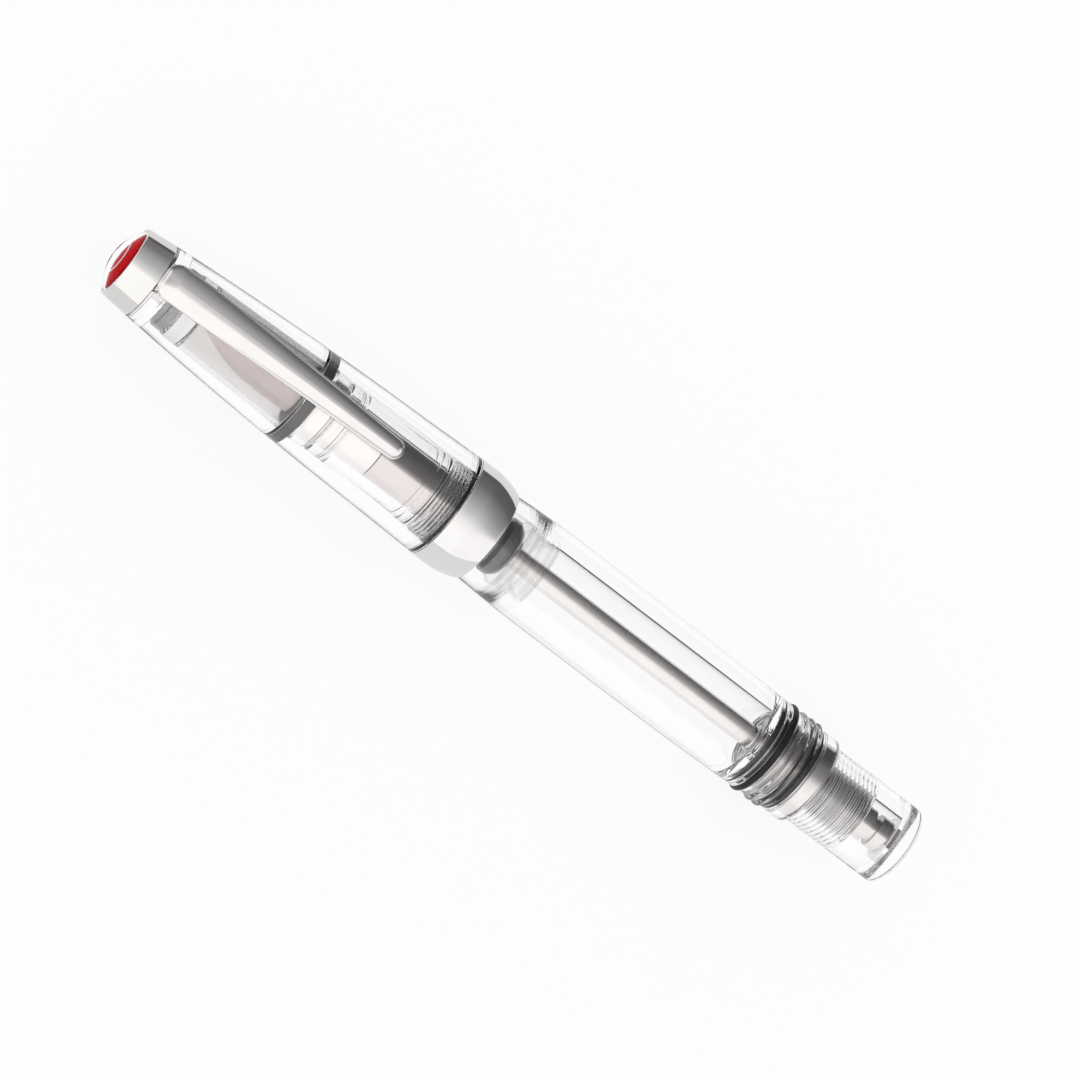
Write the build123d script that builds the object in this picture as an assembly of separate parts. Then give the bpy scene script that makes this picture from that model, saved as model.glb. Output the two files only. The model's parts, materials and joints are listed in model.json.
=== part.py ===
from build123d import *
from math import asin, cos, sin
import os

# Clear vacuum-filling fountain pen, capped. Millimetres.
# The pen lies along X: cap at -X, filler knob at +X, clip on the +Z side.
# The origin is on the pen's axis, at the middle of the barrel's straight grip.

# ---- driving dimensions -------------------------------------------------------------------
# Lengths are stations along X; radii are measured from the pen's axis.
GAP = 0.10              # clearance between pieces that move past each other
SEAT = 0.05             # gap between pieces that are only seated in each other
ROD_R = 1.55            # plunger rod
ROD_RUN = 0.08          # running clearance of the rod in its seals
EASE = 0.3              # rounding or bevel at the ends of the clear pieces

# barrel
GRIP_R = 6.75           # straight middle of the barrel
GRIP_HALF = 10.0        # half the length of that straight stretch
NECK_X = -29.4          # front face of the barrel's neck
NECK_R = 5.05
SHOULDER_X = -22.2      # where the neck steps out to the full barrel
SHOULDER_R = 6.25
BARREL_REAR_R = 6.48    # barrel just before its rear O-ring
INK_R = 4.2             # ink chamber bore
CHAMBER_R = 4.8         # wide release chamber at the front of the ink chamber
CHAMBER_X = (-22.8, -16.6)
INK_X = (-11.8, 23.9)
WEB_T = 0.85            # clear web that closes the ink chamber
POCKET_R = 5.0          # bore behind the web, for the rod gland
COUNTERBORE_R = 5.4
POSTING_RING_X = 26.3   # middle of the O-ring in front of the posting threads
POSTING_RING_R = (5.85, 6.74)
COLLAR_X = 31.7         # front of the clear collar behind the posting threads
COLLAR_R = 6.3
BARREL_END = 33.8

# threads
CAP_THREAD = dict(start=-29.0, count=5, pitch=0.52, root=NECK_R, crest=5.4)
POSTING_THREAD = dict(start=27.4, count=3, pitch=1.25, root=6.2, crest=6.66)
GLAND_THREAD = dict(start=34.2, count=10, pitch=0.7, root=2.95, crest=3.25)
KNOB_THREAD = dict(start=34.3, count=10, pitch=0.7, root=3.8, crest=3.4)

# rod gland
GLAND_X = (24.85, 41.4)
GLAND_R = 4.75
GLAND_RING_R = (4.68, 5.58)     # O-ring round the gland's nose: hole and outside
GLAND_RING_X = 24.8
ROD_SEAL_R = 2.55       # ring on the rod, in the gland's nose
ROD_SEAL_L = 1.1
GASKET_X = (30.3, 31.5)
GASKET_R = (4.22, 4.98)

# section, nib and feed
SECTION_X = (-48.3, -29.5)
SECTION_LIP_R = 5.35
SECTION_R = 5.15
TENON_R = 4.05
TENON_END = -23.1
SLEEVE_R = 3.4
# rear end and radius of each step of the collar that holds nib and feed
COLLAR_STEPS = ((-45.2, 4.3), (-43.7, 3.75), (-37.9, SLEEVE_R))
SLEEVE_X = (-37.8, -23.1)
NIB_X = (-65.9, -39.5)
NIB_R = 3.1
NIB_T = 0.3
NIB_TIP_R = 1.45        # radius of the sheet's curve at the tip
NIB_SHOULDER_X = -57.5
BREATHER = (-56.0, 0.55)        # station and radius of the breather hole

# cap
CAP_X = (-73.45, -22.6)
CLIP_SEAT = (0.55, 4.7) # depth and radius of the clip ring's seat in the cap's front
CAP_TOP_R = 5.35
CAP_LIP_R = 7.4
CAP_BORE_R = 5.6
CAP_WEB_END = -71.15    # rear face of the cap's solid top
CAP_STEP_X = (-50.3, -50.0)     # shoulder in the cap's bore, in front of the inner cap's seal
INNER_CAP_X = (-68.6, -48.5)
INNER_CAP_R = (4.6, 5.05)
INNER_CAP_T = 0.6
INNER_SEAL_X = (-49.95, -48.55)
INNER_SEAL_R = (4.77, 5.58)
BAND_X = (-26.3, -19.8)
BAND_R = 7.45
BAND_BORE_R = 6.75

# finial
FINIAL_X = (-77.6, -73.5)
FINIAL_R = (4.95, 5.33)
DISC_R = 4.45
DISC_RISE = 1.3         # rise of the disc's domed face
CUP_DEPTH = 1.1         # depth of the cup that holds the disc
DOME_WALL = 0.3         # clear dome at its rim
DOME_RISE = 1.7         # rise of the clear dome above the metal cup
STUD_R = 1.7
STUD_HOLE = 2.0         # depth of the stud's blind hole in the finial
NUT_T = 2.1

# clip
CLIP_X = (-73.6, -36.3)
CLIP_HEAD_W = 4.95
CLIP_TIP_W = 2.95
CLIP_NECK_W = 4.0

# plunger and knob
SEAL_X = (-22.2, -16.0)
SEAL_R = 4.1
KNOB_X = (33.95, 48.8)
KNOB_R = 5.66
KNOB_BORE_R = 3.3
CORE_X = (41.9, 46.1)
CORE_R = 2.35
HEX_AF = 4.0            # across the flats of the core's hexagonal end
HEX_T = 0.9


# ---- helpers ------------------------------------------------------------------------------
def turned(start, *steps):
    """Revolve a closed outline of (x, r) points about X. A pair of points is an arc through
    the first of them to the second."""
    edges, here = [], start
    for step in steps + (start,):
        if isinstance(step[0], tuple):
            edges.append(ThreePointArc(here, *step))
            here = step[-1]
        else:
            edges.append(Line(here, step))
            here = step
    return revolve(make_face(edges), axis=Axis.X)


def ring(x0, x1, inner, outer):
    """Plain tube from x0 to x1."""
    return turned((x0, inner), (x0, outer), (x1, outer), (x1, inner))


def rod(x0, x1, radius):
    """Plain round bar from x0 to x1."""
    return turned((x0, 0), (x0, radius), (x1, radius), (x1, 0))


def ridges(start, count, pitch, root, crest):
    """Outline points of a row of thread ridges, in the order of increasing x."""
    points = []
    for i in range(count):
        x = start + i * pitch
        points += [(x, root), (x + 0.3 * pitch, crest), (x + 0.5 * pitch, crest), (x + 0.8 * pitch, root)]
    return points


def o_ring(x, inner, outer):
    """O-ring whose hole and outside have the given radii."""
    wire_r = (outer - inner) / 2
    section = Plane.XY * Pos(x, inner + wire_r) * Circle(wire_r)
    return revolve(section, axis=Axis.X)


def hexagon(x0, x1, across_flats):
    """Hexagonal bar along X."""
    face = Plane.YZ.offset(x0) * RegularPolygon(across_flats / 2, 6, major_radius=False)
    return extrude(face, x1 - x0)


# ---- cap ----------------------------------------------------------------------------------
def make_cap_body():
    """Clear cap: solid top with a stud hole and a seat for the clip's ring, tapered cavity,
    straight bore, and a stepped rear end that the metal band is pressed onto."""
    top, rear = CAP_X
    seat_depth, seat_r = CLIP_SEAT
    cavity_r = INNER_CAP_R[0] + 1.5 * GAP
    band_seat = BAND_X[0] - SEAT
    body = turned(
        (top, seat_r), (top, CAP_TOP_R), ((-54.5, 6.52), (-35.8, 7.12)),
        (band_seat, CAP_LIP_R), (band_seat, BAND_BORE_R - SEAT), (rear, BAND_BORE_R - SEAT),
        (rear, CAP_BORE_R), (CAP_STEP_X[1], CAP_BORE_R), (CAP_STEP_X[0], INNER_CAP_R[1] + 1.5 * GAP),
        (INNER_CAP_X[0], cavity_r), (CAP_WEB_END, cavity_r), (CAP_WEB_END, STUD_R + SEAT),
        (top + seat_depth, STUD_R + SEAT), (top + seat_depth, seat_r))
    notch_z = seat_r - 0.5
    notch = Pos(top, 0, notch_z + CAP_TOP_R / 2) * Box(2 * seat_depth, CLIP_NECK_W + 3 * GAP, CAP_TOP_R)
    return body - notch


def make_cap_band():
    """Polished metal band at the cap's mouth, drawn in at its rear edge."""
    front, rear = BAND_X
    rear_bore = SHOULDER_R + 2 * GAP
    curve_x, drop, bevel = -24.0, 0.88, 0.1
    curve_r = ((rear - curve_x) ** 2 + drop ** 2) / (2 * drop)
    half_angle = asin((rear - curve_x) / curve_r) / 2
    halfway = (curve_x + curve_r * sin(half_angle), BAND_R - curve_r * (1 - cos(half_angle)))
    return turned(
        (front, BAND_BORE_R), (front, BAND_R - bevel), (front + bevel, BAND_R), (curve_x, BAND_R),
        (halfway, (rear, BAND_R - drop)), (rear, rear_bore), (CAP_X[1] + SEAT, rear_bore),
        (CAP_X[1] + SEAT, BAND_BORE_R))


def make_cap_top_ring():
    """Metal finial housing: a cup for the disc, with a blind hole for the stud."""
    front, rear = FINIAL_X
    cup, bevel = DISC_R + SEAT, 0.12
    return turned(
        (front, cup), (front, FINIAL_R[0] - bevel), (front + bevel, FINIAL_R[0]), (rear, FINIAL_R[1]),
        (rear, STUD_R + SEAT), (rear - STUD_HOLE, STUD_R + SEAT), (rear - STUD_HOLE, 0),
        (front + CUP_DEPTH, 0), (front + CUP_DEPTH, cup))


def spherical_cap(base_x, radius, rise):
    """Outline points of a dome that rises towards -X from a circle: halfway round, and its apex."""
    sphere_r = (radius ** 2 + rise ** 2) / (2 * rise)
    half_angle = asin(radius / sphere_r) / 2
    apex = base_x - rise
    return (apex + sphere_r * (1 - cos(half_angle)), sphere_r * sin(half_angle)), (apex, 0)


def make_finial_disc():
    """Enamelled disc with a domed face, in the cup."""
    rear, rim = FINIAL_X[0] + CUP_DEPTH - SEAT, FINIAL_X[0] + DOME_WALL
    return turned((rear, 0), (rear, DISC_R), (rim, DISC_R), spherical_cap(rim, DISC_R, DISC_RISE))


def make_finial_dome():
    """Clear domed cover over the disc, thicker in its middle."""
    inner = FINIAL_X[0] + DOME_WALL - SEAT
    inside = spherical_cap(inner, DISC_R, DISC_RISE)
    inner_apex, inner_half = inside[1], inside[0]
    return turned(
        inner_apex, (inner_half, (inner, DISC_R)), (FINIAL_X[0], DISC_R),
        spherical_cap(FINIAL_X[0], DISC_R, DOME_RISE))


def make_finial_screw():
    """Threaded stud that draws the finial, clip and cap together."""
    return rod(FINIAL_X[1] - STUD_HOLE + 2 * GAP, CAP_WEB_END + NUT_T, STUD_R)


def make_finial_nut():
    """Stepped nut on the stud, inside the cap."""
    front = CAP_WEB_END + SEAT
    hole, step_x = STUD_R + SEAT, front + 0.9
    neck_r, head_r = 4.05, 4.4
    return turned((front, hole), (front, neck_r), (step_x, neck_r), (step_x, head_r),
                  (front + NUT_T, head_r), (front + NUT_T, hole))


def make_clip_ring():
    """Washer of the clip, clamped between the finial and the cap."""
    return ring(FINIAL_X[1] + SEAT, CAP_X[0] + CLIP_SEAT[0] - SEAT, STUD_R + SEAT, CLIP_SEAT[1] - GAP)


def make_clip():
    """Tapered, arched pocket clip with a neck that runs down behind the finial."""
    head, tip = CLIP_X
    shoulder = head + 6
    root_z, head_z, tip_z, belly_z = 5.75, 7.1, 8.3, 7.25
    plan = make_face(Polyline(
        (head, -CLIP_HEAD_W / 2), (shoulder, -CLIP_HEAD_W / 2), (tip, -CLIP_TIP_W / 2),
        (tip, CLIP_TIP_W / 2), (shoulder, CLIP_HEAD_W / 2), (head, CLIP_HEAD_W / 2), close=True))
    plan = fillet(plan.vertices().sort_by(Axis.X)[:2], 1.7)
    plan = fillet(plan.vertices().sort_by(Axis.X)[-2:], 1.3)
    pad_x = tip - 2.4
    side = Plane.XZ * make_face([
        Line((head, root_z), (head, head_z)),
        ThreePointArc((head, head_z), (-56.0, 8.6), (tip, tip_z)),
        Line((tip, tip_z), (tip, belly_z)),
        Line((tip, belly_z), (pad_x, belly_z)),
        ThreePointArc((pad_x, belly_z), (-54.0, belly_z + 0.1), (head, root_z))])
    arm = extrude(plan, 10) & extrude(side, CLIP_HEAD_W, both=True)
    neck_t, neck_h, neck_z = 0.4, 1.2, 5.4
    neck = Pos(FINIAL_X[1] + GAP + neck_t / 2, 0, neck_z) * Box(neck_t, CLIP_NECK_W, neck_h)
    return arm + neck


def make_inner_cap():
    """Conical liner that closes over the nib, with a seat for its seal at the open end."""
    x0, x1 = INNER_CAP_X
    r0, r1 = INNER_CAP_R
    wall, floor_x = INNER_CAP_T, x0 + 2.2
    seat_x, seat_r = INNER_SEAL_X[0] - SEAT, INNER_SEAL_R[0] - 0.02
    return turned(
        (x0, 0), (x0, r0), (seat_x, r1), (seat_x, seat_r), (x1, seat_r), (x1, seat_r - wall / 2),
        (seat_x - wall, r1 - wall),
        (floor_x + 0.4, r0 - wall), ((floor_x + 0.1, r0 - wall - 0.3), (floor_x, r0 - wall - 1.0)),
        (floor_x, 0))


def make_inner_cap_seal():
    """Square rubber ring round the liner's mouth, which closes the gap to the cap's bore."""
    return ring(*INNER_SEAL_X, *INNER_SEAL_R)


# ---- section, nib and feed -----------------------------------------------------------------
def make_section():
    """Clear grip: flared lip, two fine grooves, flange, and a tenon that enters the barrel. Its
    bore steps down round the nib's collar."""
    x0, x1 = SECTION_X
    deep, shallow = SECTION_R - 0.25, SECTION_R - 0.12
    flange_r = 5.2
    outside = [
        (x0, SECTION_LIP_R - EASE), (x0 + EASE, SECTION_LIP_R), (x0 + 0.7, SECTION_LIP_R),
        (-45.95, SECTION_R), (-45.8, deep), (-45.5, deep), (-45.35, SECTION_R),
        (-43.2, SECTION_R), (-43.1, shallow), (-42.9, shallow), (-42.8, SECTION_R),
        ((-36.5, 4.95), (-31.2, 5.1)), (-31.0, flange_r), (x1, flange_r), (x1, TENON_R), (TENON_END, TENON_R)]
    (front_x, front_r), (middle_x, middle_r) = COLLAR_STEPS[:2]
    bore = [
        (middle_x + SEAT, SLEEVE_R + GAP), (middle_x + SEAT, middle_r + GAP), (front_x + SEAT, middle_r + GAP),
        (front_x + SEAT, front_r + GAP), (x0, front_r + GAP)]
    return turned((TENON_END, SLEEVE_R + GAP), *bore, *outside)


def make_section_sleeve():
    """Metal sleeve that lines the ink way through the section."""
    return ring(SLEEVE_X[0], SLEEVE_X[1], SLEEVE_R - 0.5, SLEEVE_R)


def make_section_o_ring():
    """O-ring squeezed between the section's flange and the barrel's neck."""
    wire = 0.34
    return o_ring(NECK_X + 0.2, TENON_R + 0.02, TENON_R + 0.02 + wire)


def make_nib_collar():
    """Stepped metal collar that grips nib and feed inside the section."""
    hole = NIB_R + SEAT
    steps, x = [], SECTION_X[0]
    for rear, r in COLLAR_STEPS:
        steps += [(x, r), (rear, r)]
        x = rear
    return turned((SECTION_X[0], hole), *steps, (x, hole))


def make_feed():
    """Feed: a round stem in the collar, a finned body with a flat top, and an ink channel."""
    stem_r, stem_end = NIB_R - NIB_T - SEAT, -39.0
    body = turned((-62.5, 0), ((-58.0, 1.75), (-51.0, stem_r)), (stem_end, stem_r), (stem_end, 0))
    fin_x, pitch, slot_w, fins = -56.9, 0.7, 0.3, 9
    slots = Part() + [ring(fin_x + pitch * i, fin_x + pitch * i + slot_w, 0.7 * stem_r, 4) for i in range(fins)]
    body -= slots & Pos(-53, 0, -3) * Box(9, 9, 5)
    channel_w, channel_z = 0.5, 2.1
    return body - Pos(-50, 0, channel_z + 2) * Box(26, channel_w, 4)


def make_nib():
    """Steel nib: a tapered, curved sheet with shoulders, a slit and a breather hole."""
    tip, rear = NIB_X
    blade_end, waist_x, waist_r = tip + 0.3, -61.0, 2.6
    sheet = turned(
        (rear, NIB_R - NIB_T), (rear, NIB_R), (-55.0, NIB_R), ((waist_x, waist_r), (blade_end, NIB_TIP_R)),
        (blade_end, NIB_TIP_R - NIB_T), ((waist_x, waist_r - NIB_T), (-55.0, NIB_R - NIB_T)))
    half = [(rear, 2.9), (-54.5, 3.2), (NIB_SHOULDER_X, 3.0)]
    tines = [(NIB_SHOULDER_X, 3.0), (-62.0, 1.75), (blade_end, 0.45)]
    other = [(x, -y) for x, y in half]
    plan = make_face([
        Polyline(*half), ThreePointArc(*tines), Line(tines[-1], (blade_end, -0.45)),
        ThreePointArc(*[(x, -y) for x, y in tines[::-1]]), Polyline(*other[::-1]), Line(other[0], half[0])])
    blade = sheet & extrude(plan, NIB_R + 1)
    slit_w = 0.12
    slit = Pos((tip - 1 + BREATHER[0]) / 2, 0, 2) * Box(BREATHER[0] - tip + 1, slit_w, 4)
    breather = Pos(BREATHER[0], 0, 0) * Cylinder(BREATHER[1], 8)
    ball_r = 0.45
    tipping = Pos(tip + ball_r, 0, NIB_TIP_R - 0.2) * (Sphere(ball_r) - Box(2, slit_w, 2))
    return blade - slit - breather + tipping


# ---- barrel ---------------------------------------------------------------------------------
def make_barrel():
    """Clear barrel: threaded neck, shoulder, swelling body, rear O-ring groove, posting
    threads and a collar. Inside: seat of the section's O-ring, section socket, release chamber,
    ink chamber, web with the rod's hole, groove of the gland's O-ring, and the gland pocket."""
    neck = [
        (NECK_X, NECK_R), *ridges(**CAP_THREAD), (SHOULDER_X, NECK_R), (SHOULDER_X, SHOULDER_R - EASE),
        (SHOULDER_X + EASE, SHOULDER_R)]
    body = [
        ((-16.0, 6.58), (-GRIP_HALF, GRIP_R)), (GRIP_HALF, GRIP_R), ((17.5, 6.65), (24.7, BARREL_REAR_R))]
    groove_front, groove_rear = POSTING_RING_X - 0.5, POSTING_RING_X + 0.5
    groove_r = POSTING_RING_R[0] - 0.02
    rear = [
        (groove_front, BARREL_REAR_R), (groove_front, groove_r), (groove_rear, groove_r),
        (groove_rear, BARREL_REAR_R - 0.08), *ridges(**POSTING_THREAD), (COLLAR_X, POSTING_THREAD["root"]),
        (COLLAR_X, COLLAR_R), (BARREL_END - EASE / 2, COLLAR_R), (BARREL_END, COLLAR_R - EASE / 2)]
    ring_front, ring_rear = GLAND_RING_X - 0.5, GLAND_RING_X + 0.5
    ring_r, nose_r = GLAND_RING_R[1] + 0.02, GLAND_RING_R[0] - 0.02
    web_end = INK_X[1] + WEB_T
    pocket = [
        (BARREL_END, COUNTERBORE_R), (COLLAR_X, COUNTERBORE_R), (COLLAR_X, POCKET_R),
        (ring_rear, POCKET_R), (ring_rear, ring_r), (ring_front, ring_r), (ring_front, nose_r),
        (web_end, nose_r)]
    rod_hole = ROD_R + 1.5 * GAP
    corner = 0.7
    ink_chamber = [
        (web_end, rod_hole), (INK_X[1], rod_hole), (INK_X[1], INK_R - corner),
        ((INK_X[1] - 0.3 * corner, INK_R - 0.3 * corner), (INK_X[1] - corner, INK_R)), (INK_X[0], INK_R)]
    release_chamber = [
        ((-13.4, 4.32), (-14.4, 4.48)), ((-15.5, 4.69), (CHAMBER_X[1], CHAMBER_R)), (CHAMBER_X[0], CHAMBER_R)]
    socket_r, o_ring_r, o_ring_end = TENON_R + GAP, TENON_R + 0.4, NECK_X + 0.45
    socket = [(CHAMBER_X[0], socket_r), (o_ring_end, socket_r), (o_ring_end, o_ring_r)]
    return turned((NECK_X, o_ring_r), *neck, *body, *rear, *pocket, *ink_chamber, *release_chamber, *socket)


def make_posting_o_ring():
    """Black O-ring in the groove at the barrel's rear, which grips the cap when it is posted."""
    return o_ring(POSTING_RING_X, *POSTING_RING_R)


# ---- rod gland --------------------------------------------------------------------------------
def make_gland_housing():
    """Metal gland: a nose in the barrel's O-ring, recessed for the rod's seal, a body in the
    pocket with a groove for the gasket, a flange in the counterbore, and the threaded tail that
    the knob screws onto. The rod runs through its hole."""
    hole = ROD_R + ROD_RUN
    nose_r, nose_end = GLAND_RING_R[0] - 2 * SEAT, GLAND_RING_X + 0.55
    gasket_seat = GASKET_R[0] - 0.02
    flange_r, flange_x = COUNTERBORE_R - SEAT, (COLLAR_X + SEAT, BARREL_END - SEAT)
    tail_r = GLAND_THREAD["root"]
    recess_r, recess_end = ROD_SEAL_R + SEAT, GLAND_X[0] + ROD_SEAL_L + 2 * SEAT
    return turned(
        (recess_end, hole), (recess_end, recess_r), (GLAND_X[0], recess_r), (GLAND_X[0], nose_r),
        (nose_end, nose_r), (nose_end, GLAND_R),
        (GASKET_X[0], GLAND_R), (GASKET_X[0], gasket_seat), (GASKET_X[1], gasket_seat), (GASKET_X[1], GLAND_R),
        (flange_x[0], GLAND_R), (flange_x[0], flange_r), (flange_x[1], flange_r), (flange_x[1], tail_r),
        *ridges(**GLAND_THREAD), (GLAND_X[1], tail_r), (GLAND_X[1], hole))


def make_gland_seal():
    """Rubber ring on the rod, in the recess of the gland's nose."""
    x0 = GLAND_X[0] + SEAT
    return ring(x0, x0 + ROD_SEAL_L, ROD_R + ROD_RUN, ROD_SEAL_R)


def make_gland_o_ring():
    """O-ring that seals the gland's nose in the barrel."""
    return o_ring(GLAND_RING_X, *GLAND_RING_R)


def make_gland_gasket():
    """Square rubber ring at the rear of the gland."""
    return ring(GASKET_X[0] + 0.02, GASKET_X[1] - 0.02, *GASKET_R)


# ---- plunger and knob --------------------------------------------------------------------------
def make_plunger_seal():
    """Rubber plunger head with a waist and a smaller rounded rear, loose on the rod's front."""
    x0, x1 = SEAL_X
    hole = ROD_R + ROD_RUN
    waist_x, waist_r = (x0 + 2.5, x0 + 3.4), SEAL_R - 0.5
    step = 1.3
    return turned(
        (x0, hole), (x0, SEAL_R - 0.6), (x0 + 0.6, SEAL_R), (waist_x[0] - 0.5, SEAL_R), (waist_x[0], waist_r),
        (waist_x[1], waist_r), (waist_x[1] + 0.5, SEAL_R), (x1 - step, SEAL_R),
        (x1 - step + GAP, SEAL_R - 0.25), ((x1 - 0.3, 3.3), (x1, 2.3)), (x1, hole))


def make_seal_retainer():
    """Metal collar on the rod, behind the plunger head."""
    x0 = SEAL_X[1] + GAP
    wide, narrow, thick = CORE_R, 1.85, 0.5
    return turned((x0, ROD_R), (x0, wide), (x0 + 0.3, wide), (x0 + thick, narrow), (x0 + thick, ROD_R))


def make_seal_screw():
    """Screw in the rod's front end that keeps the plunger head on."""
    x0 = SEAL_X[0] - GAP
    shank_end, shank_r = x0 + 3.0, 0.8
    head_r, head_t, bevel = 2.3, 0.6, 0.3
    head = turned((x0 - head_t, 0), (x0 - head_t, head_r - bevel), (x0 - head_t + bevel, head_r), (x0, head_r),
                  (x0, shank_r), (shank_end, shank_r), (shank_end, 0))
    slot = Pos(x0 - head_t, 0, 0) * Box(0.5, 0.5, 3 * head_r)
    return head - slot


def make_plunger_rod():
    """Long steel rod from the plunger head to the knob, bored for the screw at its front."""
    x0 = SEAL_X[0] - GAP
    bore_r, bore_depth = 0.85, 3.1
    return rod(x0, CORE_X[0] + 1, ROD_R) - rod(x0, x0 + bore_depth, bore_r)


def make_knob():
    """Clear filler knob: threaded bore, plain bore, hexagonal pocket and a thick end."""
    x0, x1 = KNOB_X
    thread_r = KNOB_THREAD["root"]
    plain_x, bore_end = CORE_X[0] - 0.4, CORE_X[1] + GAP
    bevel, end_round = EASE / 2, 0.9
    body = turned(
        (x0, thread_r), (x0, KNOB_R - bevel), (x0 + bevel, KNOB_R), (x1 - end_round, KNOB_R),
        ((x1 - 0.3 * end_round, KNOB_R - 0.3 * end_round), (x1, KNOB_R - end_round)), (x1, 0),
        (bore_end, 0), (bore_end, KNOB_BORE_R), (plain_x, KNOB_BORE_R), (plain_x, thread_r),
        *ridges(**KNOB_THREAD)[::-1])
    return body - hexagon(bore_end - GAP, CORE_X[1] + HEX_T + GAP, HEX_AF + 2 * SEAT)


def make_knob_core():
    """Metal end piece on the rod: a drum, a waist and a hexagonal end that drives the knob."""
    x0, x1 = CORE_X
    waist_x, waist_r = (x0 + 1.5, x0 + 2.5), 1.7
    socket_end = x0 + 1.1
    drum = turned(
        (x0, ROD_R), (x0, CORE_R), (waist_x[0], CORE_R), (waist_x[0], waist_r), (waist_x[1], waist_r),
        (waist_x[1], CORE_R), (x1, CORE_R), (x1, 0), (socket_end, 0), (socket_end, ROD_R))
    return drum + hexagon(x1 - GAP, x1 + HEX_T, HEX_AF)


# ---- write one STEP per piece -------------------------------------------------------------------
PIECES = {
    "cap_body": make_cap_body, "cap_band": make_cap_band, "cap_top_ring": make_cap_top_ring,
    "finial_disc": make_finial_disc, "finial_dome": make_finial_dome,
    "finial_screw": make_finial_screw, "finial_nut": make_finial_nut, "clip_ring": make_clip_ring,
    "clip": make_clip, "inner_cap": make_inner_cap, "inner_cap_seal": make_inner_cap_seal,
    "section": make_section, "section_sleeve": make_section_sleeve,
    "section_o_ring": make_section_o_ring, "nib_collar": make_nib_collar, "feed": make_feed,
    "nib": make_nib,
    "barrel": make_barrel, "posting_o_ring": make_posting_o_ring,
    "gland_housing": make_gland_housing, "gland_seal": make_gland_seal,
    "gland_o_ring": make_gland_o_ring, "gland_gasket": make_gland_gasket,
    "plunger_seal": make_plunger_seal, "seal_retainer": make_seal_retainer,
    "seal_screw": make_seal_screw, "plunger_rod": make_plunger_rod,
    "knob": make_knob, "knob_core": make_knob_core,
}

os.makedirs("parts", exist_ok=True)
for name, make in PIECES.items():
    export_step(make(), f"parts/{name}.step")
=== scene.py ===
import json
import math

import bmesh
import bpy
import numpy as np
from mathutils import Matrix, Vector


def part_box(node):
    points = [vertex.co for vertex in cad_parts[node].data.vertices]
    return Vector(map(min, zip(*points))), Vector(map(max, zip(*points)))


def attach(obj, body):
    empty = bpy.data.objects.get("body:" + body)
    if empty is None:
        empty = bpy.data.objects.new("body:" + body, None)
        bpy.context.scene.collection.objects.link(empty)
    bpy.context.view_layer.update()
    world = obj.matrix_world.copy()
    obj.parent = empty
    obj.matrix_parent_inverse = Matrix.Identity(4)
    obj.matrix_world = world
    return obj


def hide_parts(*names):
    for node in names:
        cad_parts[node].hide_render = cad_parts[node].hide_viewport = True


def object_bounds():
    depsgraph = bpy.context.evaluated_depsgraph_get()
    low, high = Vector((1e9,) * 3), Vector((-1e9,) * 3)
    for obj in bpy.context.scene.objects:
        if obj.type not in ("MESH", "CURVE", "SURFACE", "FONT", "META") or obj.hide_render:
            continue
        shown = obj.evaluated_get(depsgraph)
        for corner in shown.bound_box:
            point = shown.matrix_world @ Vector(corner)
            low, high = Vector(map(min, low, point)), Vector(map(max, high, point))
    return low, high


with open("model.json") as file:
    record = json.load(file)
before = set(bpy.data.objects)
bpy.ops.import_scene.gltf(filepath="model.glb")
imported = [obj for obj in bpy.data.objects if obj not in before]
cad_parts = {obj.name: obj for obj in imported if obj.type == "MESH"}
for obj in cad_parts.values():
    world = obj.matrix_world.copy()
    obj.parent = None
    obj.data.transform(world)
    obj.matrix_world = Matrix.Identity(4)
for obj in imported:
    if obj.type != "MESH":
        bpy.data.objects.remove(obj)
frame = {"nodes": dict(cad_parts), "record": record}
CAD_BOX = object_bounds()
MM = 0.001

# ---- how finely turned pieces are made ------------------------------------------------------
SEGMENTS = 144          # round the axis
THREAD_STEP = 0.035     # mm between rows along a thread
CORNER_ANGLE = math.radians(25)
CORNER_R = 0.07         # mm, edge rounding
FINE_ANGLE = math.radians(2.5)  # greatest turn between rows on a round stretch
ON_AXIS = 1e-6          # mm, a row with a smaller radius is a single point
RIDGE_POINTS = 4        # points that an outline has for each ridge of a thread

# Rubber rings that are squeezed into the bore round them, and how far their outside grows, in mm.
SQUEEZED = {"inner_cap_seal": 0.06, "gland_o_ring": 0.05, "gland_gasket": 0.05}

# Hexagonal stretches of turned nodes: lowest x, highest x, lowest r, highest r, in mm.
HEXAGONAL = {"knob": (46.21, 47.3, 1.9, 2.6), "knob_core": (46.11, 47.1, 1.9, 2.33)}


# ---- reading outlines from the frame --------------------------------------------------------
def outline_of(node):
    """Outline of a turned CAD node, [(x, r), ...] in mm, read from the seam of its mesh. It starts
    and ends on the axis, or runs once round a ring-shaped section."""
    mesh = frame["nodes"][node].data
    flat = 2e-6  # m, how far from the seam's half plane a vertex may lie
    spot = {v.index: (round(v.co.x / MM, 4), abs(round(v.co.y / MM, 4)))
            for v in mesh.vertices if abs(v.co.z) < flat and v.co.y > -flat}
    links = {p: set() for p in spot.values()}
    for edge in mesh.edges:
        a, b = (spot.get(i) for i in edge.vertices)
        if a and b and a != b:
            links[a].add(b)
            links[b].add(a)
    ends = sorted(p for p in links if len(links[p]) == 1)
    here = ends[0] if ends else min(links)
    chain, seen = [here], {here}
    while True:
        ahead = sorted(p for p in links[here] if p not in seen)
        if not ahead:
            break
        here = ahead[0]
        chain.append(here)
        seen.add(here)
    if ends and chain[0][1] > 0:
        chain.insert(0, (chain[0][0], 0.0))
    if ends and chain[-1][1] > 0:
        chain.append((chain[-1][0], 0.0))
    return chain, not ends


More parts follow.
